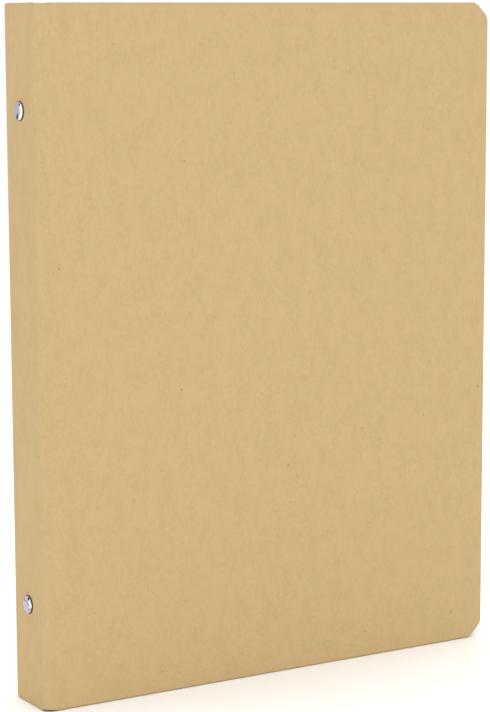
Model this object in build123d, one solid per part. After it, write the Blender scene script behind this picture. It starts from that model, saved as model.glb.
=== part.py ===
"""Loose-leaf ring binder for punched B5 sheets.

Three greyboards are wrapped in kraft paper and lined inside, and a riveted steel mechanism on the
spine board holds 26 rings in two halves, with a lever at each end.

Millimetres. +Z runs from tail to head, +X from the spine to the fore-edge, and the front cover
faces -Y. The origin is the middle of the closed binder's box, on the surface that it stands on.
"""

from build123d import *
import math
import os

CORNER = (Align.MIN, Align.MIN, Align.MIN)
ON_BASE = (Align.CENTER, Align.CENTER, Align.MIN)

# ---- Case -------------------------------------------------------------------------------------
HEIGHT = 268.0  # tail to head
WIDTH = 207.0  # spine's outer face to fore-edge
DEPTH = 27.0  # over both covers
BOARD = 2.0  # greyboard
PAPER = 0.3  # kraft wrapping paper
LINING = 0.2  # lining paper
TURN_IN = 15.0  # wrapping paper folded over onto the inside
LINING_INSET = 3.0  # bare edge outside the lining
CORNER_CUT = 5.8  # cover corners at the fore-edge are cut off this far along each edge
CORNER_RADIUS = 5.0  # and rounded on both sides of the cut
FOLD_RADIUS = 2.75  # outside of the fold between spine and cover
SPINE_BOARD_EDGE = 4.2  # cover's outer face to the spine board
COVER_BOARD_EDGE = 7.2  # spine's outer face to the cover board
TAIL_RECESS = 1.1  # the folded paper stops short of the tail
HEAD_RECESS = 0.4  # and of the head

# ---- Rivets -----------------------------------------------------------------------------------
RIVET_SPACING = 188.5
RIVET_HEAD_RADIUS = 3.45
RIVET_HEAD = 1.0  # height of the dome
RIVET_RADIUS = 1.75
RIVET_PLAY = 0.05
RIVET_BORE_RADIUS = 1.1  # hollow end that is rolled over
RIVET_BORE = 5.0
RIVET_FLANGE_RADIUS = 2.5
RIVET_FLANGE = 0.4
SPACER_RADIUS = 2.4

# ---- Mechanism, with heights counted from the inside face of the spine ------------------------
SHIELD_LENGTH = 253.0
SHIELD_HALF_WIDTH = 7.2
SHIELD_HEIGHT = 5.2
SHIELD_STEEL = 0.6
CROWN_RADIUS = 13.0
SHOULDER_RADIUS = 2.0
SEAT_DEPTH = 0.25  # flat pressed into the crown under each rivet's flange
SEAT_RADIUS = 3.2
LEDGE_HEIGHT = 1.55  # lips inside the shield that carry the hinge plates
LEDGE_STEEL = 0.55
LEDGE_WIDTH = 0.7
EAR_LENGTH = 3.9  # side walls left standing at each end for the lever's pin
EAR_HEIGHT = 3.0

PLATE_PIVOT = 6.0  # hinge plates' outer edges, from the middle
PLATE_HEIGHT = 2.06
PLATE_WIDTH = 5.9
PLATE_LENGTH = 243.0
PLATE_STEEL = 0.8
PLATE_TILT = 5.5  # degrees down to the middle when closed, and up when open
NOTCH_RADIUS = 3.0  # round each spacer

RING_COUNT = 26
RING_PITCH = 9.5
RING_RADIUS = 7.6  # of the wire's centre line
RING_HEIGHT = 11.16  # ring's centre
WIRE_RADIUS = 0.9
LEG_OFFSET = 4.4  # where the leg starts, from the middle
LEG_BEND = 2.0  # radius between ring and leg
LEG_PLAY = 0.02
COLLAR_RADIUS = 1.1  # leg's end upset under the hinge plate
COLLAR = 0.2
TIP_GAP = 0.05  # each half stops this far short of the middle
NOSE_LENGTH = 0.7
NOSE_RADIUS = 0.5
NOSE_TIP_RADIUS = 0.3
DIMPLE_RADIUS = 0.65
DIMPLE = 0.9
SLOT_HALF_WIDTH = 1.15
SLOT_INNER = 3.2  # slots for the legs, from the middle
SLOT_OUTER = 6.05

LEVER_PIVOT = 124.0  # from the middle of the row of rings
LEVER_HEIGHT = 1.9
PIN_RADIUS = 0.58
PIN_PLAY = 0.03
PIN_HEAD_RADIUS = 1.1
PIN_HEAD = 0.35
HUB_RADIUS = 1.3
HUB_HALF_WIDTH = 5.5
JAW_REACH = 3.1  # jaws above and below the ends of the hinge plates
JAW_HALF_WIDTH = 1.0
JAW_STEEL = 0.8
LOWER_JAW = 0.15
UPPER_JAW = 2.2
HANDLE_STEEL = 1.0
HANDLE_HALF_WIDTH = 5.6
HANDLE_LENGTH = 10.0
HANDLE_LEAN = 8.0  # degrees outwards
THUMB_RADIUS = 2.2  # curled end
THUMB_ANGLE = 75.0
THUMB_CORNER = 2.5

# ---- Places that follow from the sizes --------------------------------------------------------
SPINE_X = -(WIDTH - RIVET_HEAD) / 2
FORE_EDGE_X = SPINE_X + WIDTH
COVER_START_X = SPINE_X + COVER_BOARD_EDGE
FRONT_Y = -DEPTH / 2
BOARD_OUTER_Y = FRONT_Y + PAPER
BOARD_INNER_Y = BOARD_OUTER_Y + BOARD
TURN_IN_Y = BOARD_INNER_Y + PAPER
SPINE_HALF = DEPTH / 2 - SPINE_BOARD_EDGE
SPINE_INNER_X = SPINE_X + PAPER + BOARD
MECHANISM_X = SPINE_INNER_X + LINING
MIDDLE_Z = HEIGHT / 2
RING_ROW = [MIDDLE_Z + RING_PITCH * (i - (RING_COUNT - 1) / 2) for i in range(RING_COUNT)]
RIVET_ROW = [MIDDLE_Z - RIVET_SPACING / 2, MIDDLE_Z + RIVET_SPACING / 2]
TILT = math.radians(PLATE_TILT)


def block(x, y, z):
    """A block given as its lowest and highest place along each axis."""
    return Pos(x[0], y[0], z[0]) * Box(x[1] - x[0], y[1] - y[0], z[1] - z[0], align=CORNER)


def to_back(shape):
    """The same piece on the back cover's side."""
    return mirror(shape, about=Plane.XZ)


# ---- Covers -----------------------------------------------------------------------------------
def cover_panel(inset, y):
    """The front cover's outline, drawn in on its three free edges, between two depths."""
    panel = block((COVER_START_X, FORE_EDGE_X - inset), y, (inset, HEIGHT - inset))
    cut = CORNER_CUT - inset * (2 - math.sqrt(2))
    if cut <= 0:
        return panel
    panel = chamfer(panel.edges().filter_by(Axis.Y).group_by(Axis.X)[-1], cut)
    free_corners = panel.edges().filter_by(Axis.Y).sort_by(Axis.X)[2:]
    return fillet(free_corners, CORNER_RADIUS - inset)


def cover_board():
    return cover_panel(PAPER, (BOARD_OUTER_Y, BOARD_INNER_Y))


def cover_wrap():
    """Kraft paper over the outside, round the edges and turned in on the inside."""
    envelope = cover_panel(0, (FRONT_Y, TURN_IN_Y))
    window = cover_panel(TURN_IN, (BOARD_INNER_Y, TURN_IN_Y))
    return envelope - cover_board() - window


def cover_lining():
    """Lining paper over the turn-ins, stepping down onto the board between them."""
    rim = cover_panel(LINING_INSET, (TURN_IN_Y, TURN_IN_Y + LINING))
    well = cover_panel(TURN_IN, (BOARD_INNER_Y, TURN_IN_Y + LINING))
    hollow = cover_panel(TURN_IN + LINING, (BOARD_INNER_Y + LINING, TURN_IN_Y + LINING))
    return rim + well - hollow


# ---- Spine and folds --------------------------------------------------------------------------
def spine_slab(x, inset):
    """The spine's full width between two depths, drawn in from head and tail."""
    return block(x, (-SPINE_HALF, SPINE_HALF), (inset, HEIGHT - inset))


def rivet_holes():
    """Clearance through the spine for both rivets."""
    hole = Rot(0, 90, 0) * Cylinder(RIVET_RADIUS + RIVET_PLAY, WIDTH)
    return [Pos(SPINE_X, 0, z) * hole for z in RIVET_ROW]


def spine_wrap():
    """Kraft paper over the spine, with its turn-ins pressed flush into the board's inside face."""
    envelope = spine_slab((SPINE_X, SPINE_INNER_X), 0)
    core = spine_slab((SPINE_X + PAPER, SPINE_INNER_X - PAPER), PAPER)
    window = spine_slab((SPINE_INNER_X - PAPER, SPINE_INNER_X), TURN_IN)
    return envelope - core - window - rivet_holes()


def spine_board():
    solid = spine_slab((SPINE_X + PAPER, SPINE_INNER_X), PAPER)
    return solid - spine_wrap() - rivet_holes()


def spine_lining():
    return spine_slab((SPINE_INNER_X, MECHANISM_X), LINING_INSET) - rivet_holes()


def fold_corner(inset, z):
    """The solid corner inside the front fold, a given thickness in from the outside."""
    corner = block((SPINE_X + inset, COVER_START_X), (FRONT_Y + inset, -SPINE_HALF), z)
    outside = corner.edges().filter_by(Axis.Z).group_by(Axis.X)[0].sort_by(Axis.Y)[0]
    return fillet(outside, FOLD_RADIUS - inset)


def fold_wrap():
    """Flexible wrapping paper between the spine board and the front cover board."""
    z = (TAIL_RECESS, HEIGHT - HEAD_RECESS)
    return fold_corner(0, z) - fold_corner(PAPER, z)


def fold_lining():
    """Lining pressed down into the front fold between the edges of the two boards."""
    z = (LINING_INSET, HEIGHT - LINING_INSET)
    band = fold_corner(PAPER, z)
    inside = fold_corner(PAPER + LINING, z) & block(
        (SPINE_X, COVER_START_X - LINING), (FRONT_Y, -SPINE_HALF - LINING), z
    )
    above_boards = block((MECHANISM_X, COVER_START_X), (BOARD_INNER_Y + LINING, -SPINE_HALF), z)
    return band - inside - above_boards


# ---- Rivets -----------------------------------------------------------------------------------
def rivet():
    """Domed head on the spine's outside, with a hollow end rolled over the shield's flat seat."""
    seat = MECHANISM_X - SPINE_X + SHIELD_HEIGHT - SEAT_DEPTH
    dome_sphere = (RIVET_HEAD_RADIUS**2 + RIVET_HEAD**2) / (2 * RIVET_HEAD)
    dome = Pos(0, 0, dome_sphere - RIVET_HEAD) * Sphere(dome_sphere)
    head = dome & Cylinder(RIVET_HEAD_RADIUS, RIVET_HEAD, align=(Align.CENTER, Align.CENTER, Align.MAX))
    shank = Cylinder(RIVET_RADIUS, seat, align=ON_BASE)
    flange = Pos(0, 0, seat) * Cylinder(RIVET_FLANGE_RADIUS, RIVET_FLANGE, align=ON_BASE)
    top = seat + RIVET_FLANGE
    bore = Pos(0, 0, top - RIVET_BORE) * Cylinder(RIVET_BORE_RADIUS, RIVET_BORE, align=ON_BASE)
    whole = head + shank + flange - bore
    rolled_edge = whole.edges().filter_by(GeomType.CIRCLE).group_by(Axis.Z)[-1]
    return Pos(SPINE_X, 0, 0) * Rot(0, 90, 0) * fillet(rolled_edge, RIVET_FLANGE / 2)


def rivet_spacer():
    """Sleeve that keeps the shield from being crushed when the rivet is set."""
    crown_inner = CROWN_RADIUS - SHIELD_STEEL
    top = SHIELD_HEIGHT - SHIELD_STEEL - crown_inner + math.sqrt(crown_inner**2 - SPACER_RADIUS**2)
    sleeve = Cylinder(SPACER_RADIUS, top, align=ON_BASE)
    sleeve -= Cylinder(RIVET_RADIUS + RIVET_PLAY, top, align=ON_BASE)
    return Pos(MECHANISM_X, 0, 0) * Rot(0, 90, 0) * sleeve


# ---- Shield -----------------------------------------------------------------------------------
def arch(wall):
    """The arched cover's solid outline, a given wall in from the outside."""
    half_width = SHIELD_HALF_WIDTH - wall
    height = SHIELD_HEIGHT - wall
    radius = CROWN_RADIUS - wall
    walls = Pos(height / 2, 0) * Rectangle(height, 2 * half_width)
    outline = walls & Pos(height - radius, 0) * Circle(radius)
    shoulders = outline.vertices().group_by(Axis.X)[-1]
    outline = fillet(shoulders, SHOULDER_RADIUS - wall)
    half_length = SHIELD_LENGTH / 2
    return Pos(MECHANISM_X, 0, MIDDLE_Z - half_length) * extrude(outline, SHIELD_LENGTH)


def shield():
    """Spring-steel cover with lips for the hinge plates, slots for the rings and ears for the pins."""
    reach = SHIELD_LENGTH / 2
    plates_z = (MIDDLE_Z - PLATE_LENGTH / 2, MIDDLE_Z + PLATE_LENGTH / 2)
    wall_inside = SHIELD_HALF_WIDTH - SHIELD_STEEL
    lip_x = (MECHANISM_X + LEDGE_HEIGHT - LEDGE_STEEL, MECHANISM_X + LEDGE_HEIGHT)
    lip = block(lip_x, (-wall_inside, LEDGE_WIDTH - wall_inside), plates_z)
    body = arch(0) - arch(SHIELD_STEEL) + lip + to_back(lip)
    above = (MECHANISM_X + SHIELD_HEIGHT / 2, MECHANISM_X + SHIELD_HEIGHT + SHIELD_STEEL)
    cuts = []
    for ring_z in RING_ROW:
        slot = block(
            above, (-SLOT_OUTER, -SLOT_INNER), (ring_z - SLOT_HALF_WIDTH, ring_z + SLOT_HALF_WIDTH)
        )
        cuts += [slot, to_back(slot)]
    for rivet_z in RIVET_ROW:
        seat = Rot(0, 90, 0) * Cylinder(SEAT_RADIUS, SHIELD_STEEL, align=ON_BASE)
        cuts.append(Pos(MECHANISM_X + SHIELD_HEIGHT - SEAT_DEPTH, 0, rivet_z) * seat)
    for end in (-1, 1):
        inner = MIDDLE_Z + end * (reach - EAR_LENGTH)
        outer = MIDDLE_Z + end * (reach + SHIELD_STEEL)
        opening_z = (min(inner, outer), max(inner, outer))
        opening_x = (MECHANISM_X + EAR_HEIGHT, MECHANISM_X + SHIELD_HEIGHT + SHIELD_STEEL)
        cuts.append(block(opening_x, (-SHIELD_HALF_WIDTH, SHIELD_HALF_WIDTH), opening_z))
        pin_hole = Rot(90, 0, 0) * Cylinder(PIN_RADIUS, 4 * SHIELD_HALF_WIDTH)
        cuts.append(Pos(MECHANISM_X + LEVER_HEIGHT, 0, MIDDLE_Z + end * LEVER_PIVOT) * pin_hole)
    return body - rivet_holes() - cuts


# ---- Rings and hinge plates -------------------------------------------------------------------
def at_plate(shape):
    """Moves a piece from the hinge plate's own axes, Y across it and X square to it, into place."""
    return Pos(MECHANISM_X + PLATE_HEIGHT, -PLATE_PIVOT, 0) * Rot(0, 0, PLATE_TILT) * shape


def ring_path():
    """The front half ring's centre line, from its tip round to the underside of the hinge plate."""
    bend = math.acos((LEG_OFFSET + LEG_BEND * math.cos(TILT)) / (RING_RADIUS + LEG_BEND))
    bend_degrees = math.degrees(bend)
    centre_x = MECHANISM_X + RING_HEIGHT
    tip = math.degrees(math.asin(TIP_GAP / RING_RADIUS))
    ring = CenterArc((centre_x, 0), RING_RADIUS, -tip, tip - 90 - bend_degrees)
    bend_x = centre_x - (RING_RADIUS + LEG_BEND) * math.sin(bend)
    bend_y = -(RING_RADIUS + LEG_BEND) * math.cos(bend)
    turn = CenterArc((bend_x, bend_y), LEG_BEND, 90 - bend_degrees, bend_degrees + PLATE_TILT)
    foot = turn @ 1
    rise = (foot.X - MECHANISM_X - PLATE_HEIGHT) * math.cos(TILT) + (foot.Y + PLATE_PIVOT) * math.sin(TILT)
    leg_length = rise + PLATE_STEEL / 2
    leg = Line(foot, foot - Vector(math.cos(TILT), math.sin(TILT)) * leg_length)
    return Wire([ring, turn, leg])


def leg_place():
    """Where the leg passes through the hinge plate, across the plate from its pivot."""
    foot = ring_path() @ 1
    across = foot - Vector(MECHANISM_X + PLATE_HEIGHT, -PLATE_PIVOT)
    return -across.X * math.sin(TILT) + across.Y * math.cos(TILT)


def half_ring():
    """One front half ring at z = 0, without the features that lock its tip."""
    path = ring_path()
    wire = sweep((path ^ 0) * Circle(WIRE_RADIUS), path=path)
    collar = (path ^ 1) * Cylinder(COLLAR_RADIUS, COLLAR, align=ON_BASE)
    return wire + collar


def ring_row(ring):
    return Compound([Pos(0, 0, z) * ring for z in RING_ROW])


def front_half_rings():
    """Half rings with a tapered nose on each tip."""
    nose = Pos(0, 0, -NOSE_LENGTH / 2) * Cone(NOSE_TIP_RADIUS, NOSE_RADIUS, NOSE_LENGTH)
    return ring_row(half_ring() + (ring_path() ^ 0) * nose)


def back_half_rings():
    """Half rings with a dimple in each tip."""
    dimple = Cylinder(DIMPLE_RADIUS, DIMPLE, align=ON_BASE)
    return ring_row(to_back(half_ring() - (ring_path() ^ 0) * dimple))


def hinge_plate():
    """Front hinge plate, which rocks on its rounded outer edge inside the shield."""
    bottom = MIDDLE_Z - PLATE_LENGTH / 2
    flat = block((-PLATE_STEEL / 2, PLATE_STEEL / 2), (0, PLATE_WIDTH), (bottom, bottom + PLATE_LENGTH))
    edge = Pos(0, 0, bottom) * Cylinder(PLATE_STEEL / 2, PLATE_LENGTH, align=ON_BASE)
    leg_hole = Rot(0, 90, 0) * Cylinder(WIRE_RADIUS + LEG_PLAY, 2 * PLATE_STEEL)
    notch = Rot(0, 90, 0) * Cylinder(NOTCH_RADIUS, 2 * PLATE_STEEL)
    cuts = [Pos(0, leg_place(), z) * leg_hole for z in RING_ROW]
    cuts += [Pos(0, PLATE_PIVOT, z) * notch for z in RIVET_ROW]
    return at_plate(flat + edge - cuts)


# ---- Levers -----------------------------------------------------------------------------------
def at_lever_pivot(shape):
    return Pos(MECHANISM_X + LEVER_HEIGHT, 0, MIDDLE_Z + LEVER_PIVOT) * shape


def lever_jaw(height):
    """One of the two jaws that lift and lower the ends of the hinge plates."""
    x = (height - LEVER_HEIGHT, height + JAW_STEEL - LEVER_HEIGHT)
    return block(x, (-JAW_HALF_WIDTH, JAW_HALF_WIDTH), (-JAW_REACH, -HUB_RADIUS / 2))


def upper_lever():
    """Lever at the head: a bored hub, two jaws, and a handle with a curled end for the thumb."""
    lean = math.radians(HANDLE_LEAN)
    stem_end = Vector(HANDLE_LENGTH * math.cos(lean), HANDLE_LENGTH * math.sin(lean))
    curl_centre = stem_end + Vector(-math.sin(lean), math.cos(lean)) * THUMB_RADIUS
    stem = Line((0, 0), stem_end)
    curl = CenterArc(curl_centre, THUMB_RADIUS, HANDLE_LEAN - 90, THUMB_ANGLE)
    side_view = trace([stem, curl], HANDLE_STEEL)
    # drawn with X up from the spine and Y outwards, then stood up so that outwards is +Z
    handle = Rot(90, 0, 0) * extrude(side_view, HANDLE_HALF_WIDTH, both=True)
    box = handle.bounding_box()
    outline = block((box.min.X, box.max.X), (box.min.Y, box.max.Y), (box.min.Z, box.max.Z))
    handle &= fillet(outline.edges().filter_by(Axis.X).group_by(Axis.Z)[-1], THUMB_CORNER)
    hub = Rot(90, 0, 0) * Cylinder(HUB_RADIUS, 2 * HUB_HALF_WIDTH)
    bore = Rot(90, 0, 0) * Cylinder(PIN_RADIUS + PIN_PLAY, 3 * HUB_HALF_WIDTH)
    jaws = lever_jaw(LOWER_JAW) + lever_jaw(UPPER_JAW)
    return at_lever_pivot(handle + hub + jaws - bore)


def upper_lever_pin():
    """Headed pin held in the shield's two ears."""
    shank = Rot(90, 0, 0) * Cylinder(PIN_RADIUS, 2 * SHIELD_HALF_WIDTH)
    head = Pos(0, -SHIELD_HALF_WIDTH, 0) * Rot(90, 0, 0) * Cylinder(PIN_HEAD_RADIUS, PIN_HEAD, align=ON_BASE)
    return at_lever_pivot(shank + head + to_back(head))


def to_tail(shape):
    """The same piece at the mechanism's other end."""
    return mirror(shape, about=Plane.XY.offset(MIDDLE_Z))


# ---- Writing the pieces -----------------------------------------------------------------------
def pieces():
    """Every separate piece of the binder, by name."""
    front_wrap = cover_wrap()
    front_board = cover_board()
    front_lining = cover_lining()
    front_fold_wrap = fold_wrap()
    front_fold_lining = fold_lining()
    front_plate = hinge_plate()
    lever = upper_lever()
    pin = upper_lever_pin()
    return {
        "spine_board": spine_board(),
        "spine_wrap": spine_wrap(),
        "spine_lining": spine_lining(),
        "front_cover_board": front_board,
        "front_cover_wrap": front_wrap,
        "front_cover_lining": front_lining,
        "front_fold_wrap": front_fold_wrap,
        "front_fold_lining": front_fold_lining,
        "back_cover_board": to_back(front_board),
        "back_cover_wrap": to_back(front_wrap),
        "back_cover_lining": to_back(front_lining),
        "back_fold_wrap": to_back(front_fold_wrap),
        "back_fold_lining": to_back(front_fold_lining),
        "mechanism_shield": shield(),
        "front_hinge_plate": front_plate,
        "back_hinge_plate": to_back(front_plate),
        "front_half_rings": front_half_rings(),
        "back_half_rings": back_half_rings(),
        "upper_lever": lever,
        "lower_lever": to_tail(lever),
        "upper_lever_pin": pin,
        "lower_lever_pin": to_tail(pin),
        "lower_rivet": Pos(0, 0, RIVET_ROW[0]) * rivet(),
        "upper_rivet": Pos(0, 0, RIVET_ROW[1]) * rivet(),
        "lower_rivet_spacer": Pos(0, 0, RIVET_ROW[0]) * rivet_spacer(),
        "upper_rivet_spacer": Pos(0, 0, RIVET_ROW[1]) * rivet_spacer(),
    }


os.makedirs("parts", exist_ok=True)
for name, piece in pieces().items():
    export_step(piece, os.path.join("parts", name + ".step"))
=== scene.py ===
"""Looks of the kraft-paper ring binder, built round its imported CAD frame, in metres.

+Z runs from tail to head, +X from the spine to the fore-edge, and the front cover faces -Y. Pieces
that come in pairs are drawn once, with distances from the plane between the covers, and placed on
the front (side -1) or on the back (side 1).
"""

import math

import bmesh
import bpy
from mathutils import Matrix, Vector, noise


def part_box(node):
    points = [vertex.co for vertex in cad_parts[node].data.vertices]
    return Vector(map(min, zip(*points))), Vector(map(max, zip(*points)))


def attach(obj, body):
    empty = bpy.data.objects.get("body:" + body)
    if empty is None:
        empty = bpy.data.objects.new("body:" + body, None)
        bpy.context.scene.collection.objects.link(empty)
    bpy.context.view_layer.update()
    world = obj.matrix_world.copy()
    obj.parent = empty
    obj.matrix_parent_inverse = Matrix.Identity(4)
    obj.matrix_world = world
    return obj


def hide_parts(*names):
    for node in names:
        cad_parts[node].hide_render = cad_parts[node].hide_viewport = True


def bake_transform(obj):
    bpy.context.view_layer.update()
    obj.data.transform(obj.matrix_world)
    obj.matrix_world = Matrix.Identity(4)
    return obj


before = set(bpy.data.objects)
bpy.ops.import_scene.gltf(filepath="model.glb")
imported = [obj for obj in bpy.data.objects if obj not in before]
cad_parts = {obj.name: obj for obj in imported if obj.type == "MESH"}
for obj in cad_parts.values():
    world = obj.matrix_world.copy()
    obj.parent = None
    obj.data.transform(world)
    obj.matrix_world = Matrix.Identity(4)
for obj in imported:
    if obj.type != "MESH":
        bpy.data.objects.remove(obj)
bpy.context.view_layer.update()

MM = 0.001
FRONT = -1
BACK = 1

# ---- Places taken from the frame --------------------------------------------------------------
spine_low, spine_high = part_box("spine_wrap")
cover_low, cover_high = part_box("back_cover_wrap")
cover_lining_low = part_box("back_cover_lining")[0]
spine_lining_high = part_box("spine_lining")[1]
rivet_low, rivet_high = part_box("upper_rivet")

HEIGHT = cover_high.z
SPINE_X = spine_low.x
SPINE_HALF = spine_high.y
SPINE_THICKNESS = spine_high.x - spine_low.x
FORE_EDGE_X = cover_high.x
COVER_START_X = cover_low.x
COVER_OUTER = cover_high.y
COVER_THICKNESS = cover_high.y - cover_low.y
LINING_INSET = cover_lining_low.z
LINING_X = spine_lining_high.x
LINING_RAISED = cover_lining_low.y
HEAD_TOP_X = rivet_low.x
HEAD_RADIUS = (rivet_high.y - rivet_low.y) / 2
RIVET_END_X = rivet_high.x


def head_foot(node):
    """Middle of a rivet's head, on the face of the spine."""
    low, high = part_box(node)
    return Vector((SPINE_X, (low.y + high.y) / 2, (low.z + high.z) / 2))


UPPER_FOOT = head_foot("upper_rivet")
LOWER_FOOT = head_foot("lower_rivet")

# ---- Sizes that the frame's boxes don't give --------------------------------------------------
PAPER = 0.3 * MM
LINING_SUNK = LINING_RAISED + PAPER  # level of the lining on bare board, inside the turn-ins
TURN_IN = 15.0 * MM
CORNER_CUT = 5.8 * MM
CORNER_RADIUS = 5.0 * MM
CORNER_SHRINK = 2 - math.sqrt(2)  # a cut corner loses this share of an inset along each edge
CORNER_END = CORNER_CUT / CORNER_SHRINK
FOLD_RADIUS = 2.75 * MM
FOLD_THICKNESS = 2 * PAPER
TAIL_RECESS = 1.0 * MM
HEAD_RECESS = 0.45 * MM
OUTER_EDGE = 0.75 * MM
INNER_EDGE = 0.5 * MM
SEAM = 2.0 * MM  # the folded piece laps this far over the cover board
SPINE_SEAM = SPINE_HALF - 1.0 * MM  # and starts here, a little way onto the spine board
LINING = 0.2 * MM
STEP = 0.6 * MM  # the lining slopes off the turned-in paper over this width
SHARP = math.radians(40)
HEAD_GAP = 0.35 * MM  # a rivet head's rim stands this far off the paper
HEAD_SHOULDER = 0.4 * MM
HEAD_CROWN = 0.15 * MM
SHANK_RADIUS = 1.75 * MM
HOLLOW_RADIUS = 1.1 * MM
HOLLOW_DEPTH = 4.5 * MM
FLANGE_RADIUS = 2.5 * MM
ROLL = 0.2 * MM  # radius of the flange's rolled rim
TURNS = 64  # sides of a turned piece


# ---- Helpers ----------------------------------------------------------------------------------
def smooth_step(value):
    value = min(max(value, 0.0), 1.0)
    return value * value * (3 - 2 * value)


def spaced(low, high, count):
    """Evenly spaced values from low to high, both included."""
    return [low + (high - low) * i / (count - 1) for i in range(count)]


def make_piece(name, mesh, material, body):
    """Finishes a bmesh as a named, smooth-shaded piece on one body."""
    bmesh.ops.remove_doubles(mesh, verts=mesh.verts, dist=1e-6)
    bmesh.ops.recalc_face_normals(mesh, faces=mesh.faces)
    data = bpy.data.meshes.new(name)
    mesh.to_mesh(data)
    mesh.free()
    piece = bpy.data.objects.new(name, data)
    bpy.context.scene.collection.objects.link(piece)
    data.materials.append(material)
    data.shade_smooth()
    data.set_sharp_from_angle(angle=SHARP)
    if body:
        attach(piece, body)
    return piece


def loft(mesh, rings, closed):
    """Joins rings of the same length into a skin, and caps both ends when the rings are closed."""
    rows = [[mesh.verts.new(point) for point in ring] for ring in rings]
    count = len(rows[0])
    for first, second in zip(rows, rows[1:]):
        for i in range(count if closed else count - 1):
            j = (i + 1) % count
            mesh.faces.new((first[i], first[j], second[j], second[i]))
    if closed:
        mesh.faces.new(rows[0])
        mesh.faces.new(rows[-1])


def through(points, steps):
    """A smooth line through the given points, with a number of steps between each two."""
    ends = [points[0]] + points + [points[-1]]
    line = []
    for a, b, c, d in zip(ends, ends[1:], ends[2:], ends[3:]):
        for i in range(steps):
            t = i / steps
            line.append(
                0.5
                * (2 * b + (c - a) * t + (2 * a - 5 * b + 4 * c - d) * t**2 + (3 * b - a - 3 * c + d) * t**3)
            )
    return line + [points[-1]]


# ---- Materials --------------------------------------------------------------------------------
class Shader:
    """One node material, built a node at a time."""

    def __init__(self, name):
        self.material = bpy.data.materials.new(name)
        self.material.use_nodes = True
        self.tree = self.material.node_tree
        self.surface = self.tree.nodes["Principled BSDF"]
        self.place = self.node("ShaderNodeTexCoord").outputs["Object"]

    def node(self, kind, settings=None, inputs=None):
        made = self.tree.nodes.new(kind)
        for name, value in (settings or {}).items():
            setattr(made, name, value)
        for name, value in (inputs or {}).items():
            self.feed(made.inputs[name], value)
        return made

    def feed(self, socket, value):
        if isinstance(value, bpy.types.NodeSocket):
            self.tree.links.new(value, socket)
        else:
            socket.default_value = value

    def stretched(self, scale, turn=(0, 0, 0)):
        """The place in space, turned and then scaled along each axis."""
        turned = self.node(
            "ShaderNodeMapping", {"vector_type": "POINT"}, {"Vector": self.place, "Rotation": turn}
        )
        return self.node(
            "ShaderNodeMapping", {"vector_type": "POINT"}, {"Vector": turned.outputs[0], "Scale": scale}
        ).outputs[0]

    def noise(self, scale, detail=2.0, roughness=0.5, place=None):
        made = self.node(
            "ShaderNodeTexNoise",
            inputs={
                "Vector": place or self.place,
                "Scale": scale,
                "Detail": detail,
                "Roughness": roughness,
            },
        )
        return made.outputs["Fac"]

    def specks(self, scale, place=None):
        """Distance to the nearest of many scattered points."""
        made = self.node("ShaderNodeTexVoronoi", inputs={"Vector": place or self.place, "Scale": scale})
        return made.outputs["Distance"]

    def between(self, value, low, high, start=0.0, end=1.0):
        """Carries value from the range low..high smoothly to start..end, and no further."""
        made = self.node(
            "ShaderNodeMapRange",
            {"interpolation_type": "SMOOTHSTEP"},
            {"Value": value, "From Min": low, "From Max": high, "To Min": start, "To Max": end},
        )
        return made.outputs["Result"]

    def math(self, operation, first, second=0.0):
        made = self.node("ShaderNodeMath", {"operation": operation})
        self.feed(made.inputs[0], first)
        self.feed(made.inputs[1], second)
        return made.outputs[0]

    def mix(self, amount, first, second):
        made = self.node("ShaderNodeMix", {"data_type": "RGBA"})
        self.feed(made.inputs["Factor"], amount)
        self.feed(made.inputs["A"], first)
        self.feed(made.inputs["B"], second)
        return made.outputs["Result"]

    def distance(self, place):
        """How far the surface is from a place."""
        made = self.node("ShaderNodeVectorMath", {"operation": "DISTANCE"})
        self.feed(made.inputs[0], self.place)
        made.inputs[1].default_value = place
        return made.outputs["Value"]

    def along(self, axis):
        return self.node("ShaderNodeSeparateXYZ", inputs={"Vector": self.place}).outputs[axis]

    def bump(self, height, strength, distance):
        made = self.node(
            "ShaderNodeBump", inputs={"Height": height, "Strength": strength, "Distance": distance}
        )
        self.feed(self.surface.inputs["Normal"], made.outputs[0])


def colour(red, green, blue):
    return (red, green, blue, 1.0)


def fibre_streaks(shader, thickness, turns):
    """Thin short fibres lying in several directions, thickness in metres."""
    total = None
    for turn in turns:
        place = shader.stretched((1 / thickness, 1 / thickness, 0.09 / thickness), turn)
        streak = shader.between(shader.noise(1.0, 1.0, 0.5, place), 0.62, 0.74)
        total = streak if total is None else shader.math("MAXIMUM", total, streak)
    return total


def painted_edge_shade(shader, grain):
    """Painted shade along the tail, head and fore-edge, strongest along the tail where the binder stands,
    patchy with the grain, from 0 to 1.
    """
    height, length = shader.along("Z"), shader.along("X")
    tail = shader.between(height, 1.0 * MM, 0.1 * MM)
    head = shader.between(height, HEIGHT - 0.8 * MM, HEIGHT - 0.1 * MM, 0.0, 0.6)
    fore_edge = shader.between(length, FORE_EDGE_X - 0.8 * MM, FORE_EDGE_X - 0.1 * MM, 0.0, 0.6)
    edges = shader.math("MAXIMUM", tail, shader.math("MAXIMUM", head, fore_edge))
    return shader.math("MULTIPLY", edges, shader.between(grain, 0.3, 0.6, 0.5, 1.0))


def rivet_distance(shader):
    """How far the surface is from the foot of the nearer rivet's head."""
    return shader.math("MINIMUM", shader.distance(UPPER_FOOT), shader.distance(LOWER_FOOT))


def painted_rivet_shadow(shader):
    """Painted shadow on the paper under and just round the rivet heads, from 0 to 1."""
    return shader.between(rivet_distance(shader), HEAD_RADIUS + 0.45 * MM, HEAD_RADIUS + 0.05 * MM)


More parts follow.
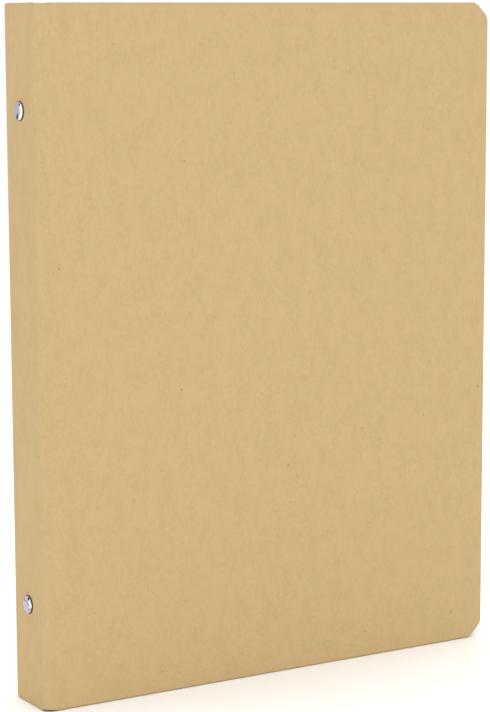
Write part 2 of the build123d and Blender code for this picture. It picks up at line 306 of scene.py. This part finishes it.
def kraft_paper(name, light, deep, fleck):
    """Unbleached paper: cloudy formation, crossed fibres, rare dark shives and a dry, faintly rough face."""
    shader = Shader(name)
    cloud = shader.noise(150.0, 3.0, 0.6, shader.stretched((1.0, 1.0, 0.6)))
    grain = shader.noise(900.0, 4.0, 0.6, shader.stretched((1.0, 1.0, 0.45)))
    tint = shader.noise(210.0, 3.0, 0.6, shader.stretched((1.0, 1.0, 0.5), (0.0, 0.0, 1.0)))
    dark_fibres = fibre_streaks(shader, 0.55 * MM, ((0.1, 0.1, 0.9), (1.3, 0.4, 0.2), (0.2, 1.2, 0.6)))
    pale_fibres = fibre_streaks(shader, 0.7 * MM, ((0.2, 0.3, 0.3), (1.4, 0.8, 1.4)))
    shives = shader.between(
        shader.specks(1.0, shader.stretched((75.0, 75.0, 40.0), (0.3, 0.5, 0.2))), 0.04, 0.015
    )
    specks = shader.between(shader.specks(260.0), 0.12, 0.05)
    speck_patches = shader.between(shader.noise(90.0, 1.0), 0.48, 0.56)

    body = shader.math("ADD", shader.math("MULTIPLY", cloud, 0.4), shader.math("MULTIPLY", grain, 0.6))
    paper = shader.mix(shader.between(body, 0.38, 0.62), deep, light)
    pinkish = colour(light[0] * 1.0, light[1] * 0.965, light[2] * 1.04)
    paper = shader.mix(shader.math("MULTIPLY", shader.between(tint, 0.45, 0.62), 0.6), paper, pinkish)
    pale = colour(light[0] * 1.07, light[1] * 1.08, light[2] * 1.1)
    paper = shader.mix(shader.math("MULTIPLY", pale_fibres, 0.3), paper, pale)
    shade = colour(deep[0] * 0.86, deep[1] * 0.82, deep[2] * 0.75)
    paper = shader.mix(shader.math("MULTIPLY", dark_fibres, 0.3), paper, shade)
    paper = shader.mix(
        shader.math("MULTIPLY", shader.math("MULTIPLY", specks, speck_patches), 0.3), paper, fleck
    )
    paper = shader.mix(shader.math("MULTIPLY", shives, 0.5), paper, fleck)
    # Painted shade: the paper darkens along its tail, head and fore-edge.
    paper = shader.mix(shader.math("MULTIPLY", painted_edge_shade(shader, grain), 0.45), paper, fleck)
    # Painted shadow: a dark ring on the paper round each rivet head.
    paper = shader.mix(shader.math("MULTIPLY", painted_rivet_shadow(shader), 0.85), paper, colour(0.06, 0.035, 0.02))
    shader.feed(shader.surface.inputs["Base Color"], paper)
    shader.feed(shader.surface.inputs["Roughness"], shader.between(grain, 0.3, 0.7, 0.78, 0.92))
    shader.surface.inputs["Specular IOR Level"].default_value = 0.25
    height = shader.math(
        "ADD",
        shader.math("MULTIPLY", grain, 0.7),
        shader.math("SUBTRACT", pale_fibres, shader.math("MULTIPLY", dark_fibres, 0.5)),
    )
    shader.bump(height, 0.2, 0.02 * MM)
    return shader.material


def greyboard():
    """Pressed recycled board: grey with mixed pale and dark fibres."""
    shader = Shader("greyboard")
    pulp = shader.noise(900.0, 5.0, 0.7)
    fibres = fibre_streaks(shader, 0.8 * MM, ((0.4, 0.9, 0.2), (1.8, 0.3, 1.1)))
    board = shader.mix(shader.between(pulp, 0.3, 0.7), colour(0.22, 0.2, 0.18), colour(0.36, 0.33, 0.29))
    shader.feed(shader.surface.inputs["Base Color"], shader.mix(fibres, board, colour(0.5, 0.48, 0.44)))
    shader.feed(shader.surface.inputs["Roughness"], shader.between(pulp, 0.3, 0.7, 0.85, 0.97))
    shader.bump(pulp, 0.5, 0.06 * MM)
    return shader.material


def nickel(name, tone, low, high, drawn, change_face=None):
    """Bright nickel plating: a slight stain, hairlines along the drawn direction and small pits."""
    shader = Shader(name)
    stain = shader.noise(260.0, 3.0, 0.6)
    hairlines = shader.noise(1.0, 2.0, 0.6, shader.stretched(drawn))
    pits = shader.between(shader.specks(900.0), 0.16, 0.05)
    dull = colour(tone[0] * 0.88, tone[1] * 0.87, tone[2] * 0.87)
    face = shader.mix(shader.between(stain, 0.4, 0.7), tone, dull)
    if change_face:
        face = change_face(shader, face)
    shader.feed(shader.surface.inputs["Base Color"], face)
    shader.surface.inputs["Metallic"].default_value = 1.0
    wear = shader.math("ADD", shader.math("MULTIPLY", stain, 0.5), shader.math("MULTIPLY", hairlines, 0.5))
    shader.feed(shader.surface.inputs["Roughness"], shader.between(wear, 0.35, 0.7, low, high))
    shader.bump(shader.math("SUBTRACT", hairlines, pits), 0.12, 0.01 * MM)
    return shader.material


def head_mark(foot, y, z, radius):
    """A round mark on a rivet's head, its place counted in millimetres from the head's middle."""
    return foot + Vector((HEAD_TOP_X + 0.3 * MM - SPINE_X, y * MM, z * MM)), radius * MM


def head_line(foot, start, end, radius):
    """A row of marks that run together into one line, between two places (y, z)."""
    ends = list(zip(start, end))
    steps = spaced(0.0, 1.0, 11)
    return [head_mark(foot, *(low + (high - low) * step for low, high in ends), radius) for step in steps]


def cover_marks(shader, face, marks, tone, ragged):
    """Gives the face another tone inside the marks, with a ragged edge round them."""
    nearest = 1.0
    for place, radius in marks:
        nearest = shader.math("MINIMUM", nearest, shader.math("SUBTRACT", shader.distance(place), radius))
    edge = shader.math("ADD", nearest, ragged)
    return shader.mix(shader.between(edge, 0.3 * MM, 0.05 * MM), face, tone)


def painted_rivet_light(shader, face):
    """Painted highlights on one side of the shoulders, painted dark reflections in the marks and painted
    shade under the rim of each head.
    """
    painted_dark = colour(0.02, 0.02, 0.04)
    ragged = shader.math("MULTIPLY", shader.noise(1800.0, 2.0), 0.25 * MM)
    # Painted highlights on the shoulders.
    face = cover_marks(shader, face, PAINTED_HIGHLIGHTS, colour(0.97, 0.96, 0.97), ragged)
    # Painted dark reflections in the marks.
    face = cover_marks(shader, face, PAINTED_DARK_REFLECTIONS, painted_dark, ragged)
    length = shader.along("X")
    # Painted shade: the recess under each head's rim is coloured dark.
    gap = shader.math(
        "MULTIPLY",
        shader.between(length, SPINE_X - HEAD_GAP - 0.1 * MM, SPINE_X - HEAD_GAP),
        shader.between(length, SPINE_X + 1.0 * MM, SPINE_X + 0.8 * MM),
    )
    return shader.mix(gap, face, painted_dark)


KRAFT = kraft_paper(
    "kraft_paper", colour(0.525, 0.378, 0.187), colour(0.484, 0.346, 0.163), colour(0.22, 0.14, 0.07)
)
LINING_PAPER = kraft_paper(
    "lining_paper", colour(0.57, 0.43, 0.23), colour(0.535, 0.395, 0.20), colour(0.26, 0.17, 0.09)
)
GREYBOARD = greyboard()
PLATE_NICKEL = nickel("plate_nickel", colour(0.58, 0.57, 0.56), 0.18, 0.32, (900.0, 900.0, 60.0))
WIRE_NICKEL = nickel("wire_nickel", colour(0.60, 0.59, 0.58), 0.12, 0.22, (700.0, 700.0, 700.0))
# Painted highlights: bright patches on the right-hand shoulders of the rivet heads.
PAINTED_HIGHLIGHTS = head_line(UPPER_FOOT, (-2.5, 1.8), (-2.7, -1.0), 0.7)
PAINTED_HIGHLIGHTS += head_line(UPPER_FOOT, (-2.7, -1.0), (-1.3, -2.9), 0.65)
PAINTED_HIGHLIGHTS += head_line(LOWER_FOOT, (-2.0, 1.9), (-2.9, 0.0), 0.6)
# Painted dark reflections: dark spots and a dark diagonal line on the rivet heads.
PAINTED_DARK_REFLECTIONS = [
    head_mark(UPPER_FOOT, 0.5, -2.4, 0.7),
    head_mark(UPPER_FOOT, 0.2, -1.7, 0.6),
    head_mark(UPPER_FOOT, -1.6, 2.3, 0.5),
    head_mark(LOWER_FOOT, -1.5, 2.4, 0.65),
]
PAINTED_DARK_REFLECTIONS += head_line(LOWER_FOOT, (2.0, 2.0), (-2.3, 0.1), 0.3)
RIVET_NICKEL = nickel("rivet_nickel", colour(0.43, 0.42, 0.50), 0.1, 0.2, (500.0, 500.0, 500.0), painted_rivet_light)
PLAIN_STEEL = nickel("plain_steel", colour(0.42, 0.415, 0.41), 0.3, 0.45, (1200.0, 1200.0, 40.0))


# ---- Folded paper: a lap on the spine, one fold and a lap onto the cover -----------------------
SPINE_RUN = COVER_OUTER - FOLD_RADIUS
FOLD_RUN = FOLD_RADIUS * math.pi / 2
COVER_EDGE_RUN = SPINE_RUN + FOLD_RUN + COVER_START_X - SPINE_X - FOLD_RADIUS


def fold_place(run):
    """Outer face and inward direction of the paper, by the distance from the middle of the spine."""
    if run <= SPINE_RUN:
        return Vector((SPINE_X, run)), Vector((1, 0))
    if run >= SPINE_RUN + FOLD_RUN:
        x = SPINE_X + FOLD_RADIUS + run - SPINE_RUN - FOLD_RUN
        return Vector((x, COVER_OUTER)), Vector((0, -1))
    angle = (run - SPINE_RUN) / FOLD_RADIUS
    inward = Vector((math.cos(angle), -math.sin(angle)))
    centre = Vector((SPINE_X + FOLD_RADIUS, SPINE_RUN))
    return centre - inward * FOLD_RADIUS, inward


def hollow(run, start, end, depth):
    """A soft hollow in unsupported paper, between two places along its run."""
    if not start < run < end:
        return 0.0
    return depth * math.sin(math.pi * (run - start) / (end - start)) ** 2


def fold_thickness(run):
    """Board and paper on the spine and the cover, and only paper between them."""
    past_spine = smooth_step((run - SPINE_HALF + 0.2 * MM) / (0.7 * MM))
    onto_cover = smooth_step((run - COVER_EDGE_RUN + 0.5 * MM) / (0.7 * MM))
    thin = SPINE_THICKNESS + (FOLD_THICKNESS - SPINE_THICKNESS) * past_spine
    return thin + (COVER_THICKNESS - FOLD_THICKNESS) * onto_cover


def fold_recess(run):
    """How much of the full recess the paper's end has between the boards, from 0 to 1."""
    leaving = smooth_step((run - SPINE_HALF) / (2.6 * MM))
    arriving = smooth_step((run - SPINE_RUN - 0.6 * FOLD_RUN) / (COVER_EDGE_RUN - SPINE_RUN - 0.6 * FOLD_RUN))
    return leaving * (1 - arriving)


def section_round_board(low, high, thickness, outer_edge, inner_edge):
    """Closed outline (height, depth) of paper round a board's thickness, from tail to head."""
    outer_edge = min(outer_edge, thickness / 2)
    inner_edge = min(inner_edge, thickness / 2)
    quarter = [math.pi / 2 * i / 5 for i in range(6)]
    outline = [(z, 0.0) for z in spaced(low + 3 * outer_edge, high - 3 * outer_edge, 70)]
    for a in quarter:
        outline.append(
            (high - outer_edge + outer_edge * math.sin(a), outer_edge - outer_edge * math.cos(a))
        )
    for a in quarter:
        outline.append(
            (high - inner_edge + inner_edge * math.cos(a), thickness - inner_edge + inner_edge * math.sin(a))
        )
    outline += [(z, thickness) for z in spaced(high - TURN_IN, low + TURN_IN, 20)]
    for a in reversed(quarter):
        outline.append(
            (low + inner_edge - inner_edge * math.cos(a), thickness - inner_edge + inner_edge * math.sin(a))
        )
    for a in reversed(quarter):
        outline.append((low + outer_edge - outer_edge * math.sin(a), outer_edge - outer_edge * math.cos(a)))
    return outline


def fold_runs():
    """Stations along the paper, close together where it bends."""
    lap_end = COVER_EDGE_RUN + SEAM
    return (
        spaced(SPINE_SEAM, SPINE_RUN, 14)
        + spaced(SPINE_RUN, SPINE_RUN + FOLD_RUN, 15)[1:]
        + spaced(SPINE_RUN + FOLD_RUN, COVER_EDGE_RUN + 0.6 * MM, 20)[1:]
        + [lap_end]
    )


def folded_paper(side):
    mesh = bmesh.new()
    rings = []
    for run in fold_runs():
        point, inward = fold_place(run)
        recess = fold_recess(run)
        dip = hollow(run, SPINE_RUN + 0.75 * FOLD_RUN, COVER_EDGE_RUN, 0.13 * MM)
        dip += hollow(run, SPINE_HALF, SPINE_RUN + 0.2 * FOLD_RUN, 0.05 * MM)
        section = section_round_board(
            recess * TAIL_RECESS, HEIGHT - recess * HEAD_RECESS, fold_thickness(run), OUTER_EDGE, INNER_EDGE
        )
        ring = []
        for z, depth in section:
            place = point + inward * (depth + dip)
            ring.append((place.x, side * place.y, z))
        rings.append(ring)
    loft(mesh, rings, closed=True)
    return mesh


def spine_paper():
    """Paper round the spine board, as far as the pieces that fold."""
    mesh = bmesh.new()
    section = section_round_board(0.0, HEIGHT, SPINE_THICKNESS, OUTER_EDGE, INNER_EDGE)
    rings = []
    for y in spaced(-SPINE_SEAM, SPINE_SEAM, 9):
        rings.append([(SPINE_X + depth, y, z) for z, depth in section])
    loft(mesh, rings, closed=True)
    return mesh


def spine_lining():
    mesh = bmesh.new()
    rings = []
    for y in spaced(-SPINE_SEAM, SPINE_SEAM, 5):
        rings.append([(LINING_X, y, z) for z in lining_heights()])
    loft(mesh, rings, closed=False)
    return mesh


def lining_level(z):
    """How far the lining on a cover stands up over the turned-in paper at height z."""
    from_end = min(z, HEIGHT - z)
    return (LINING_SUNK - LINING_RAISED) * smooth_step((TURN_IN + STEP / 2 - from_end) / STEP)


def lining_heights():
    """Heights of the lining's rows, close together where it steps off the turned-in paper."""
    return (
        [LINING_INSET]
        + spaced(TURN_IN - STEP / 2, TURN_IN + STEP / 2, 7)
        + spaced(TURN_IN + 2 * MM, HEIGHT - TURN_IN - 2 * MM, 60)
        + spaced(HEIGHT - TURN_IN - STEP / 2, HEIGHT - TURN_IN + STEP / 2, 7)
        + [HEIGHT - LINING_INSET]
    )


def folded_lining(side):
    """Lining from the edge of the spine, down into the fold and up onto the cover's board."""
    floor_x = SPINE_X + FOLD_THICKNESS + LINING
    floor_y = COVER_OUTER - FOLD_THICKNESS - LINING
    edge_x = COVER_START_X
    route = through(
        [
            Vector((LINING_X, SPINE_SEAM)),
            Vector((LINING_X, SPINE_HALF - 0.4 * MM)),
            Vector((LINING_X - 0.25 * MM, SPINE_HALF + 0.1 * MM)),
            Vector((floor_x + 0.35 * MM, SPINE_HALF + 0.55 * MM)),
            Vector((floor_x + 0.05 * MM, SPINE_HALF + 1.3 * MM)),
            Vector((floor_x + 0.45 * MM, floor_y - 0.75 * MM)),
            Vector((floor_x + 1.6 * MM, floor_y)),
            Vector((edge_x - 1.5 * MM, floor_y)),
            Vector((edge_x - 0.55 * MM, floor_y - 0.35 * MM)),
            Vector((edge_x - 0.25 * MM, LINING_SUNK + 0.45 * MM)),
            Vector((edge_x + 0.25 * MM, LINING_SUNK)),
            Vector((edge_x + SEAM, LINING_SUNK)),
        ],
        5,
    )
    mesh = bmesh.new()
    rings = []
    for place in route:
        onto_cover = smooth_step((place.x - edge_x + 1.0 * MM) / (1.0 * MM))
        onto_cover *= smooth_step((floor_y - place.y) / (0.8 * MM))
        ring = [(place.x, side * (place.y - onto_cover * lining_level(z)), z) for z in lining_heights()]
        rings.append(ring)
    loft(mesh, rings, closed=False)
    return mesh


def bend_across(piece):
    """Bakes a piece's placement into its mesh."""
    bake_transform(piece)


# ---- Covers -----------------------------------------------------------------------------------
LONG_STEPS = 42
TALL_STEPS = 58
CORNER_STEPS = 18


def corner_curve(inset):
    """A cut and rounded corner, as distances (back, up) from its two edges at an inset."""
    radius = max(CORNER_RADIUS - inset, 0.0)
    start = max(CORNER_CUT - inset * CORNER_SHRINK, 0.0) + radius * math.tan(math.pi / 8)
    rounded = []
    for a in spaced(0.0, math.pi / 4, 7):
        rounded.append((start - radius * math.sin(a), radius * (1 - math.cos(a))))
    back, up = rounded[-1]
    cut = [(back + (up - back) * share, up + (back - up) * share) for share in spaced(0.0, 1.0, 7)[1:-1]]
    return rounded + cut + [(up, back) for back, up in reversed(rounded)]


def cover_loop(inset):
    """The cover's outline (x, z) drawn in by inset, from the hinge side's tail round to its head."""
    curve = corner_curve(inset)
    start = COVER_START_X + SEAM
    edge = FORE_EDGE_X - inset
    reach = inset + curve[0][0]
    loop = [(x, inset) for x in spaced(start, FORE_EDGE_X - reach, LONG_STEPS)]
    loop += [(edge - back, inset + up) for back, up in curve[1:-1]]
    loop += [(edge, z) for z in spaced(reach, HEIGHT - reach, TALL_STEPS)]
    loop += [(edge - back, HEIGHT - inset - up) for back, up in curve[-2:0:-1]]
    loop += [(x, HEIGHT - inset) for x in spaced(FORE_EDGE_X - reach, start, LONG_STEPS)]
    return loop


def corner_share(index):
    """Where a loop's point lies on its corner, from 0 to 1, or None off the corners."""
    for first in (LONG_STEPS - 1, LONG_STEPS + CORNER_STEPS - 1 + TALL_STEPS - 1):
        if first <= index <= first + CORNER_STEPS:
            return (index - first) / CORNER_STEPS
    return None


def pleat(index, inset):
    """Height of the small gathers where paper is turned in round a corner."""
    share = corner_share(index)
    if share is None:
        return 0.0
    fade = smooth_step((inset - 0.4 * MM) / (1.2 * MM)) * smooth_step((CORNER_END - inset) / (3.5 * MM))
    return 0.14 * MM * fade * abs(math.sin(4.5 * math.pi * share)) * math.sin(math.pi * share)


def swell(x, z):
    """Slight unevenness of a wrapped board, dying out towards its edges and the fold."""
    near = min(x - COVER_START_X - SEAM, FORE_EDGE_X - x, z, HEIGHT - z)
    amount = smooth_step(near / (14 * MM))
    wave = noise.noise(Vector((x * 21.0, z * 17.0, 3.7)))
    ripple = noise.noise(Vector((x * 60.0, z * 52.0, 8.1)))
    return 0.05 * MM * amount * (wave + 0.4 * ripple)


def fill_panel(mesh, inset, depth, side, height_at):
    """The rectangle inside the loop at an inset past the corners, as a grid in line with the loop."""
    xs = spaced(COVER_START_X + SEAM, FORE_EDGE_X - inset, LONG_STEPS)
    zs = spaced(inset, HEIGHT - inset, TALL_STEPS)
    rows = []
    for z in zs:
        rows.append([(x, side * (COVER_OUTER - depth - height_at(x, z)), z) for x in xs])
    loft(mesh, rows, closed=False)


def cover_paper(side):
    """Paper round the board: outer face, rounded edges, turned-in rim and the sunk middle."""
    quarter = [math.pi / 2 * i / 6 for i in range(7)]
    profile = [(CORNER_END, 0.0), (7.0 * MM, 0.0), (4.5 * MM, 0.0), (3.0 * MM, 0.0), (1.8 * MM, 0.0)]
    profile += [(OUTER_EDGE * (1 - math.sin(a)), OUTER_EDGE * (1 - math.cos(a))) for a in quarter]
    inner = COVER_THICKNESS - INNER_EDGE
    profile += [(INNER_EDGE * (1 - math.cos(a)), inner + INNER_EDGE * math.sin(a)) for a in quarter]
    profile += [(inset * MM, COVER_THICKNESS) for inset in (0.9, 1.5, 2.2, 3.0, 4.0, 5.5, 7.0)]
    profile += [(CORNER_END, COVER_THICKNESS), (TURN_IN, COVER_THICKNESS)]
    profile += [(TURN_IN + 0.1 * MM, COVER_THICKNESS - PAPER)]
    mesh = bmesh.new()
    rings = []
    for inset, depth in profile:
        ring = []
        for index, (x, z) in enumerate(cover_loop(inset)):
            lift = pleat(index, inset) if depth > inner else -swell(x, z) if depth == 0.0 else 0.0
            ring.append((x, side * (COVER_OUTER - depth - lift), z))
        rings.append(ring)
    loft(mesh, rings, closed=False)
    fill_panel(mesh, CORNER_END, 0.0, side, lambda x, z: -swell(x, z))
    fill_panel(mesh, TURN_IN + 0.1 * MM, COVER_THICKNESS - PAPER, side, lambda x, z: 0.0)
    return mesh


def cover_lining(side):
    """Lining paper over the turn-ins, stepping down onto the board."""
    raised = COVER_OUTER - LINING_RAISED
    sunk = COVER_OUTER - LINING_SUNK
    profile = [(LINING_INSET, raised), (LINING_INSET + 1.5 * MM, raised), (6.5 * MM, raised)]
    profile += [(CORNER_END, raised), (TURN_IN - 2 * MM, raised)]
    for share in spaced(0.0, 1.0, 7):
        profile.append((TURN_IN + (share - 0.5) * STEP, raised + (sunk - raised) * smooth_step(share)))
    mesh = bmesh.new()
    rings = []
    for inset, depth in profile:
        ring = []
        for index, (x, z) in enumerate(cover_loop(inset)):
            lift = 0.8 * pleat(index, inset)
            ring.append((x, side * (COVER_OUTER - depth - lift), z))
        rings.append(ring)
    loft(mesh, rings, closed=False)
    fill_panel(mesh, TURN_IN + STEP / 2, sunk, side, lambda x, z: 0.0)
    return mesh


def make_sheet(name, mesh, body, inward):
    """Lining paper that faces inward, with its thickness towards the board behind it."""
    sheet = make_piece(name, mesh, LINING_PAPER, body)
    if sum(face.normal.dot(inward) * face.area for face in sheet.data.polygons) < 0:
        sheet.data.flip_normals()
    solid = sheet.modifiers.new("thickness", "SOLIDIFY")
    solid.thickness = LINING
    solid.offset = -1.0
    return sheet


def finish_paper(piece, node):
    """Hides the CAD node that a paper piece stands in for."""
    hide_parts(node)


def wrap_cover(side, name):
    """All paper of one cover and its fold."""
    cover = name + "_cover"
    fold = make_piece(name + "_fold_paper", folded_paper(side), KRAFT, None)
    bend_across(fold)
    finish_paper(fold, name + "_fold_wrap")
    fold_sheet = make_sheet(name + "_fold_sheet", folded_lining(side), None, Vector((1, -side, 0)))
    bend_across(fold_sheet)
    finish_paper(fold_sheet, name + "_fold_lining")
    paper = make_piece(cover + "_paper", cover_paper(side), KRAFT, cover)
    finish_paper(paper, cover + "_wrap")
    sheet = make_sheet(cover + "_sheet", cover_lining(side), cover, Vector((0, -side, 0)))
    finish_paper(sheet, cover + "_lining")


wrap_cover(FRONT, "front")
wrap_cover(BACK, "back")
finish_paper(make_piece("spine_paper", spine_paper(), KRAFT, "spine"), "spine_wrap")
spine_sheet = make_sheet("spine_sheet", spine_lining(), "spine", Vector((1, 0, 0)))
finish_paper(spine_sheet, "spine_lining")


# ---- Rivets -----------------------------------------------------------------------------------
def rivet_profile():
    """Half section (radius, distance along +X) of a rivet, from the crown of its head to its hollow end."""
    wall_x = HEAD_TOP_X + HEAD_SHOULDER + HEAD_CROWN
    flat = HEAD_RADIUS - HEAD_SHOULDER
    profile = []
    for share in spaced(0.0, 0.95, 10):
        profile.append((flat * share, HEAD_TOP_X + HEAD_CROWN * share**2.2))
    for a in spaced(-0.5 * math.pi, 0.0, 8):
        profile.append((flat + HEAD_SHOULDER * math.cos(a), wall_x + HEAD_SHOULDER * math.sin(a)))
    underside = SPINE_X - HEAD_GAP
    lip = underside - wall_x
    for a in spaced(0.0, 0.5 * math.pi, 5)[1:]:
        profile.append((HEAD_RADIUS - lip + lip * math.cos(a), wall_x + lip * math.sin(a)))
    profile += [(HEAD_RADIUS - 0.5 * MM, underside), (HEAD_RADIUS - 0.6 * MM, SPINE_X)]
    profile += [(SHANK_RADIUS, SPINE_X), (SHANK_RADIUS, RIVET_END_X - 2 * ROLL)]
    for a in spaced(-0.5 * math.pi, 0.5 * math.pi, 7):
        profile.append((FLANGE_RADIUS - ROLL + ROLL * math.cos(a), RIVET_END_X - ROLL + ROLL * math.sin(a)))
    profile += [(HOLLOW_RADIUS + 0.4 * MM, RIVET_END_X), (HOLLOW_RADIUS + 0.1 * MM, RIVET_END_X - 0.15 * MM)]
    profile += [(HOLLOW_RADIUS, RIVET_END_X - 0.5 * MM), (HOLLOW_RADIUS, RIVET_END_X - HOLLOW_DEPTH)]
    profile += [(0.0, RIVET_END_X - HOLLOW_DEPTH - 0.3 * MM)]
    return profile


def rivet_piece(node, foot, dents):
    """A set rivet: its head is turned from the profile and marked by the setting tool."""
    mesh = bmesh.new()
    rings = []
    for step in range(TURNS):
        angle = 2 * math.pi * step / TURNS
        ring = []
        for radius, x in rivet_profile():
            y, z = radius * math.cos(angle), radius * math.sin(angle)
            if x < HEAD_TOP_X + HEAD_SHOULDER:
                x += dents(y / MM, z / MM) * MM
            ring.append((x, foot.y + y, foot.z + z))
        rings.append(ring)
    loft(mesh, rings + rings[:1], closed=False)
    piece = make_piece(node + "_piece", mesh, RIVET_NICKEL, "spine")
    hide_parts(node)


def crease(y, z, direction, offset, depth, width):
    """Depth of a straight groove across a head, in millimetres, by its direction in degrees."""
    a = math.radians(direction)
    distance = y * math.sin(a) - z * math.cos(a) - offset
    return depth * math.exp(-((distance / width) ** 2))


def upper_dents(y, z):
    flat = crease(y, z, 75, 0.6, 0.16, 1.2)
    return flat + crease(y, z, 60, -1.3, 0.10, 0.35) + 0.04 * noise.noise(Vector((y * 0.8, z * 0.8, 1.0)))


def lower_dents(y, z):
    groove = crease(y, z, 42, 0.0, 0.22, 0.35)
    return groove + crease(y, z, 80, -1.6, 0.08, 0.5) + 0.04 * noise.noise(Vector((y * 0.8, z * 0.8, 5.0)))


rivet_piece("upper_rivet", UPPER_FOOT, upper_dents)
rivet_piece("lower_rivet", LOWER_FOOT, lower_dents)

# ---- Mechanism: the CAD nodes with their finishes ---------------------------------------------
FINISHES = {
    "spine_board": GREYBOARD,
    "front_cover_board": GREYBOARD,
    "back_cover_board": GREYBOARD,
    "mechanism_shield": PLATE_NICKEL,
    "upper_lever": PLATE_NICKEL,
    "lower_lever": PLATE_NICKEL,
    "upper_lever_pin": PLATE_NICKEL,
    "lower_lever_pin": PLATE_NICKEL,
    "front_half_rings": WIRE_NICKEL,
    "back_half_rings": WIRE_NICKEL,
    "front_hinge_plate": PLAIN_STEEL,
    "back_hinge_plate": PLAIN_STEEL,
    "upper_rivet_spacer": PLAIN_STEEL,
    "lower_rivet_spacer": PLAIN_STEEL,
}
for node, material in FINISHES.items():
    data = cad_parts[node].data
    data.materials.clear()
    data.materials.append(material)
    data.shade_smooth()
    data.set_sharp_from_angle(angle=SHARP)


# ---- Floor, light and camera ------------------------------------------------------------------
def pale_floor():
    shader = Shader("pale_floor")
    shader.surface.inputs["Base Color"].default_value = colour(0.98, 0.98, 0.98)
    shader.surface.inputs["Roughness"].default_value = 0.9
    mesh = bmesh.new()
    size = 6.0
    loft(mesh, [[(-size, -size, 0), (size, -size, 0)], [(-size, size, 0), (size, size, 0)]], closed=False)
    floor = make_piece("floor", mesh, shader.material, None)


def soft_light(name, place, aim, width, height, power):
    """A softbox facing a place, left out of the camera's own view."""
    light = bpy.data.lights.new(name, "AREA")
    light.shape = "RECTANGLE"
    light.size = width
    light.size_y = height
    light.energy = power
    lamp = bpy.data.objects.new(name, light)
    lamp.location = place
    lamp.rotation_euler = (aim - place).to_track_quat("-Z", "Y").to_euler()
    lamp.visible_camera = False
    bpy.context.scene.collection.objects.link(lamp)


def studio():
    world = bpy.data.worlds.new("studio")
    world.use_nodes = True
    world.node_tree.nodes["Background"].inputs["Color"].default_value = colour(1.0, 1.0, 1.0)
    world.node_tree.nodes["Background"].inputs["Strength"].default_value = 1.0
    bpy.context.scene.world = world
    bpy.context.scene.view_settings.view_transform = "Standard"
    middle = Vector((0, 0, HEIGHT / 2))
    soft_light("front_softbox", Vector((-0.5, -1.6, 0.6)), middle, 0.9, 0.9, 5.0)
    soft_light("spine_softbox", Vector((-1.3, 0.7, 0.75)), Vector((0, 0, 0.3)), 0.16, 1.3, 1.6)
    soft_light("overhead_softbox", Vector((0.2, 0.2, 1.9)), middle, 1.6, 1.6, 13.0)


def camera():
    """A long lens a little above the binder, looking at its spine and front cover."""
    azimuth, elevation, roll = math.radians(31.24), math.radians(8.52), math.radians(-0.22)
    forward = Vector(
        (
            math.sin(azimuth) * math.cos(elevation),
            math.cos(azimuth) * math.cos(elevation),
            -math.sin(elevation),
        )
    )
    data = bpy.data.cameras.new("camera")
    data.lens = 114.1
    lens = bpy.data.objects.new("camera", data)
    fold_foot = Vector((SPINE_X, -COVER_OUTER, 0))
    lens.location = fold_foot + Vector((-1.365, -2.800, 0.978)) * HEIGHT
    turn = forward.to_track_quat("-Z", "Y").to_matrix() @ Matrix.Rotation(roll, 3, "Z")
    lens.rotation_euler = turn.to_euler()
    bpy.context.scene.collection.objects.link(lens)
    bpy.context.scene.camera = lens


pale_floor()
studio()
camera()
